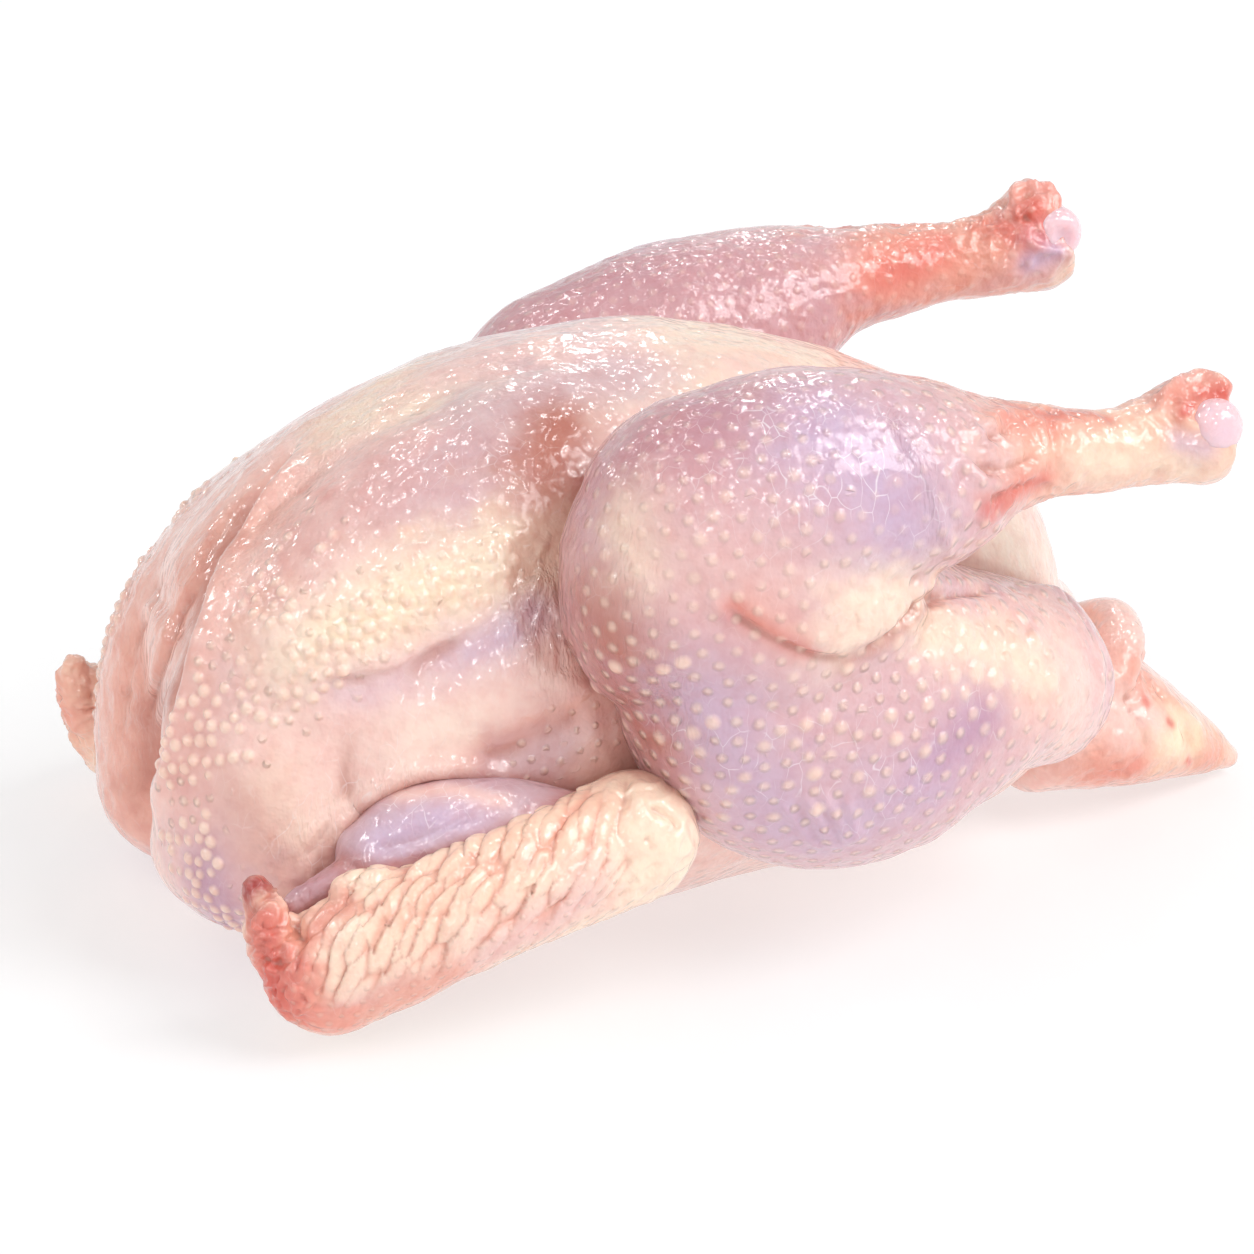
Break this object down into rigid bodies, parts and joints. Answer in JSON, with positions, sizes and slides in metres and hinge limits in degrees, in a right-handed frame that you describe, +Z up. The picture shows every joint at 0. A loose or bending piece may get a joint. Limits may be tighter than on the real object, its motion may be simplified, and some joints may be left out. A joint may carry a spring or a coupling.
{
  "type": "whole raw chicken",
  "caption": "Whole raw plucked chicken lying on its back, breast up, wings folded beside it, drumsticks stretched back to bare hock knuckles, pointed tail at the rear",
  "frame": {"origin": "under the middle of the bird's bounding box, on the surface it lies on", "axes": "+X from the neck end to the tail, along the longest extent; +Y from the bird's right side to its left; +Z up, out of the breast"},
  "size_m": [0.261, 0.1764, 0.1305],
  "materials": {
    "skin": "moist pale pink skin",
    "gristle": "wet pale pink gristle"
  },
  "bodies": {
    "root": {"chicken": "skin", "leg_bone_right": "gristle", "leg_bone_left": "gristle"}
  },
  "joints": []
}
